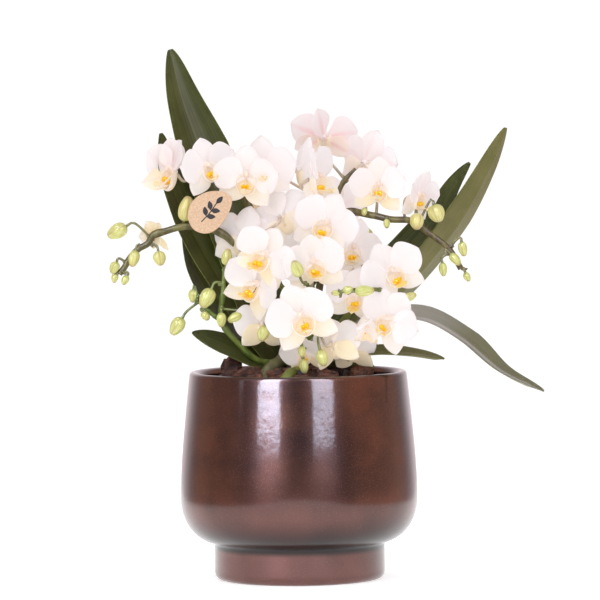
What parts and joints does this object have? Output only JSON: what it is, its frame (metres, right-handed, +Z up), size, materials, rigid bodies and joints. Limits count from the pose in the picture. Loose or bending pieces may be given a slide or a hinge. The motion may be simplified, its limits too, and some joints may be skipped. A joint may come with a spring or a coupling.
{
  "type": "potted moth orchid",
  "caption": "Small branching moth orchid with white flowers, buds and strap leaves, standing in bark in a round footed ceramic planter.",
  "frame": {"origin": "centre of the planter's flat underside", "axes": "+Z up along the planter's axis, -Y towards the front of the plant, +X towards the drooping leaf"},
  "size_m": [0.2172, 0.1198, 0.2673],
  "materials": {
    "bronze_glaze": "speckled bronze metallic glaze, satin to gloss",
    "clear_plastic": "clear",
    "bark": "rough bark chips",
    "leaf": "waxy satin",
    "root": "matt, velvety",
    "green_stem": "satin",
    "petal": "soft satin, slightly translucent",
    "kraft_card": "matt, fine speckle"
  },
  "bodies": {
    "root": {"bark_bed": "bark", "bark_chip_1": "bark", "bark_chip_2": "bark", "bark_chip_3": "bark", "bark_chip_4": "bark", "bark_chip_5": "bark", "bark_chip_6": "bark", "ceramic_planter": "bronze_glaze", "crown_stem": "green_stem", "flower_01": "petal", "flower_02": "petal", "flower_03": "petal", "flower_04": "petal", "flower_05": "petal", "flower_06": "petal", "flower_07": "petal", "flower_08": "petal", "flower_09": "petal", "flower_10": "petal", "flower_11": "petal", "flower_12": "petal", "flower_13": "petal", "flower_14": "petal", "flower_15": "petal", "flower_16": "petal", "flower_17": "petal", "flower_18": "petal", "flower_19": "petal", "flower_20": "petal", "flower_21": "petal", "flower_22": "petal", "flower_23": "petal", "flower_24": "petal", "flower_25": "petal", "flower_26": "petal", "flower_27": "petal", "flower_28": "petal", "flower_29": "petal", "flower_30": "petal", "grow_pot": "clear_plastic", "leaf_back_left": "leaf", "leaf_dark_left": "leaf", "leaf_dark_right": "leaf", "leaf_drooping_right": "leaf", "leaf_large_right": "leaf", "leaf_low_right": "leaf", "leaf_small_left": "leaf", "leaf_tall_left": "leaf", "root_back": "root", "root_front": "root", "root_left": "root", "root_right": "root", "spike_back": "green_stem", "spike_front": "green_stem", "spike_green_left": "green_stem", "spike_left": "green_stem", "spike_right": "green_stem", "spike_right_low": "green_stem", "tag": "kraft_card", "tag_clip": "clear_plastic"}
  },
  "joints": []
}
